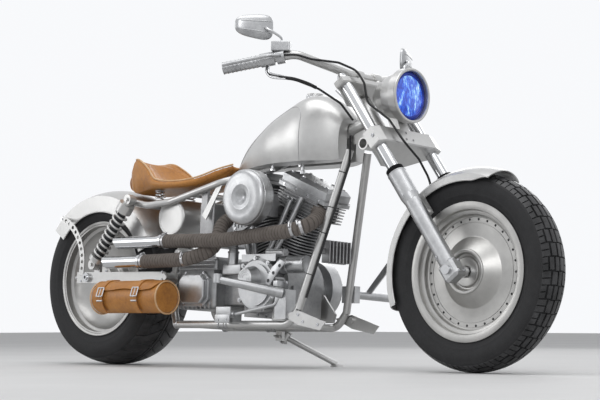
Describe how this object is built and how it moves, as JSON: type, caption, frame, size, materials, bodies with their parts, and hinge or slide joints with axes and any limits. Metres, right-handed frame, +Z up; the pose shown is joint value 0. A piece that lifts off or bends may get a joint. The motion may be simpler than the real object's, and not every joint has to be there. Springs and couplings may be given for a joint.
{
  "type": "chopper motorcycle",
  "caption": "Motorcycle with raked front end, finned V engine, teardrop tank, sprung seat, dished wheels, short fenders, wrapped exhausts, leather tool roll and side stand.",
  "frame": {"origin": "middle of the bounding box on the floor, with the bike leaning on its side stand", "axes": "+X towards the front wheel, +Y to the rider's left, +Z up from the floor"},
  "size_m": [2.4188, 0.955, 1.2262],
  "materials": {
    "tyre_rubber": "matt moulded tread",
    "satin_wheel": "satin turned",
    "brushed_disc": "ground",
    "black_rubber": "matt",
    "cast_silver": "satin cast",
    "polished_chrome": "polished",
    "silver_paint": "satin metallic",
    "dark_fins": "cast, slightly dark",
    "tan_leather": "worn saddle leather",
    "heat_wrap": "woven heat wrap",
    "blue_lens": "blue tinted"
  },
  "bodies": {
    "chassis": {"frame_neck": "silver_paint", "frame_backbone": "silver_paint", "frame_downtubes": "silver_paint", "frame_lower_rails": "silver_paint", "frame_uprights": "silver_paint", "frame_seat_rails": "silver_paint", "frame_cross_members": "silver_paint", "frame_plates": "silver_paint", "swingarm": "silver_paint", "rear_axle": "polished_chrome", "shock_bodies": "silver_paint", "shock_springs": "silver_paint", "rear_fender": "silver_paint", "fender_struts": "silver_paint", "drive_belt": "black_rubber", "crankcase": "cast_silver", "front_cylinder": "dark_fins", "rear_cylinder": "dark_fins", "rocker_boxes": "cast_silver", "pushrod_tubes": "polished_chrome", "cam_cover": "cast_silver", "air_cleaner": "cast_silver", "carburettor": "dark_fins", "gearbox": "cast_silver", "primary_cover": "cast_silver", "oil_filter": "dark_fins", "regulator": "dark_fins", "exhaust_wraps": "heat_wrap", "exhaust_tips": "polished_chrome", "tank": "silver_paint", "seat": "tan_leather", "seat_springs": "silver_paint", "oil_tank": "silver_paint", "battery_box": "dark_fins", "tool_bag": "tan_leather", "foot_control_right": "cast_silver", "foot_control_left": "cast_silver", "wiring": "black_rubber"},
    "front_end": {"front_axle": "polished_chrome", "fork_legs": "cast_silver", "dust_seals": "black_rubber", "fork_tubes": "polished_chrome", "lower_clamp": "cast_silver", "upper_clamp": "cast_silver", "handlebar": "silver_paint", "grips": "cast_silver", "hand_controls": "cast_silver", "mirrors": "cast_silver", "headlamp_bucket": "polished_chrome", "headlamp_lens": "blue_lens", "front_fender": "silver_paint", "front_caliper": "cast_silver", "cables": "black_rubber"},
    "front_wheel": {"front_tyre": "tyre_rubber", "front_wheel_disc": "satin_wheel", "front_brake_disc": "brushed_disc"},
    "rear_wheel": {"rear_tyre": "tyre_rubber", "rear_wheel_disc": "satin_wheel", "rear_pulley": "satin_wheel"},
    "side_stand": {"side_stand": "silver_paint"}
  },
  "joints": [
    {"name": "steering", "type": "hinge", "parent": "chassis", "child": "front_end", "pos_m": [0.46938, -0.01268, 0.77464], "axis": [-0.6018, 0.0418, 0.7975], "range_deg": [-24, 24]},
    {"name": "front_wheel_spin", "type": "hinge", "parent": "front_end", "child": "front_wheel", "pos_m": [0.882, -0.03612, 0.32739], "axis": [0, 0.9986, -0.0523], "continuous": true},
    {"name": "rear_wheel_spin", "type": "hinge", "parent": "chassis", "child": "rear_wheel", "pos_m": [-0.882, -0.03612, 0.32739], "axis": [0, 0.9986, -0.0523], "continuous": true},
    {"name": "side_stand_fold", "type": "hinge", "parent": "chassis", "child": "side_stand", "pos_m": [-0.122, 0.10272, 0.11032], "axis": [0.1265, 0.5176, 0.8462], "range_deg": [0, 123]}
  ]
}
